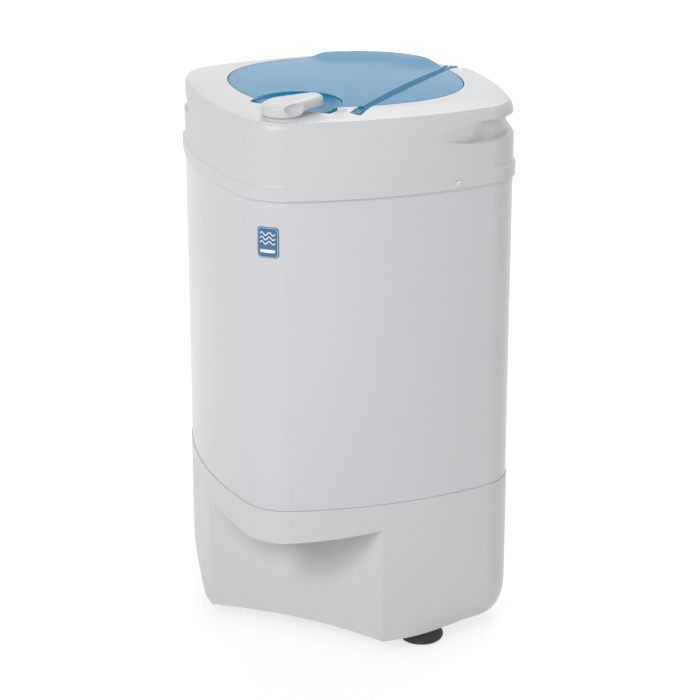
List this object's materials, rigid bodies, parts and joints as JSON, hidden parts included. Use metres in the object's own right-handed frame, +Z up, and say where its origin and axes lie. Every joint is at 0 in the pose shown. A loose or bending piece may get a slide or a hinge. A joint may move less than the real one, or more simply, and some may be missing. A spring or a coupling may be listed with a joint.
{
  "type": "spin dryer",
  "caption": "Top-loading laundry spin dryer: square cabinet on four feet, translucent hinged lid, lid lever working a drum brake, perforated drum on a hung motor.",
  "frame": {"origin": "floor level under the middle of the cabinet", "axes": "+Z up; the four sides face along X and Y; the front is the corner at -X,-Y with the lever and the basin recess, the hinge corner is at +X,-Y"},
  "size_m": [0.3536, 0.3536, 0.66],
  "materials": {
    "white_plastic": "moulded, fine satin",
    "white_sheet": "baked white enamel",
    "blue_clear": "translucent blue, moulded",
    "black_rubber": "matt",
    "grey_rubber": "matt",
    "grey_plastic": "moulded",
    "stainless": "brushed",
    "zinc_steel": "zinc plated",
    "iron": "bare, oiled",
    "copper": "enamelled winding wire"
  },
  "bodies": {
    "cabinet": {"base_housing": "white_plastic", "bottom_plate": "grey_plastic", "cabinet_shell": "white_sheet", "top_cover": "white_plastic", "corner_pane": "blue_clear", "lever_dish": "blue_clear", "lid_hinge_pin_front": "stainless", "lid_hinge_pin_back": "stainless", "lever_bush": "grey_plastic", "lid_switch": "black_rubber", "outer_tub": "grey_plastic", "tub_seal": "grey_rubber", "shaft_seal": "black_rubber", "drain_hose": "black_rubber", "drain_spout": "white_plastic", "motor_bracket": "zinc_steel", "mount_rubber_1": "black_rubber", "mount_rubber_2": "black_rubber", "mount_rubber_3": "black_rubber", "mount_screw_1": "zinc_steel", "mount_screw_2": "zinc_steel", "mount_screw_3": "zinc_steel", "motor_stator": "iron", "winding_top": "copper", "winding_bottom": "copper", "motor_cap_top": "zinc_steel", "motor_cap_bottom": "zinc_steel", "bearing_top": "stainless", "bearing_bottom": "stainless", "brake_spring": "stainless", "brake_cable": "black_rubber", "foot_1": "black_rubber", "foot_2": "black_rubber", "foot_3": "black_rubber", "foot_4": "black_rubber", "cover_screw_1": "zinc_steel", "cover_screw_2": "zinc_steel", "cover_screw_3": "zinc_steel", "cord_gland": "black_rubber", "capacitor": "grey_plastic", "capacitor_clip": "zinc_steel", "terminal_block": "white_plastic"},
    "lid": {"lid": "blue_clear"},
    "lever": {"lever": "white_plastic", "lever_shaft": "stainless", "lever_cam": "grey_plastic"},
    "switch_button": {"switch_button": "grey_plastic"},
    "brake_arm": {"brake_arm": "zinc_steel", "brake_shoe": "black_rubber"},
    "drum": {"drum": "stainless", "balance_ring": "white_plastic", "drum_hub": "zinc_steel", "drum_cone": "white_plastic", "hub_nut": "zinc_steel", "drive_shaft": "stainless", "motor_rotor": "iron", "brake_drum": "iron"}
  },
  "joints": [
    {"name": "lid_hinge", "type": "hinge", "parent": "cabinet", "child": "lid", "pos_m": [0.05586, -0.05586, 0.6409], "axis": [0.7071, 0.7071, 0], "range_deg": [0, 88]},
    {"name": "lever_turn", "type": "hinge", "parent": "cabinet", "child": "lever", "pos_m": [-0.11384, -0.12233, 0.64], "axis": [0, 0, 1], "range_deg": [0, 62]},
    {"name": "switch_slide", "type": "slide", "parent": "cabinet", "child": "switch_button", "axis": [-0.7071, 0.7071, 0], "range_m": [0, 0.0035]},
    {"name": "brake_swing", "type": "hinge", "parent": "cabinet", "child": "brake_arm", "pos_m": [0.01485, -0.05586, 0.13], "axis": [0, 0, 1], "range_deg": [-3.7, 0]},
    {"name": "drum_spin", "type": "hinge", "parent": "cabinet", "child": "drum", "pos_m": [0, 0, 0.3], "axis": [0, 0, 1], "continuous": true}
  ],
  "couplings": [
    {"joint": "switch_slide", "follows": "lever_turn", "m_per_rad": 0.0027724},
    {"joint": "brake_swing", "follows": "lever_turn", "ratio": -0.058065}
  ]
}
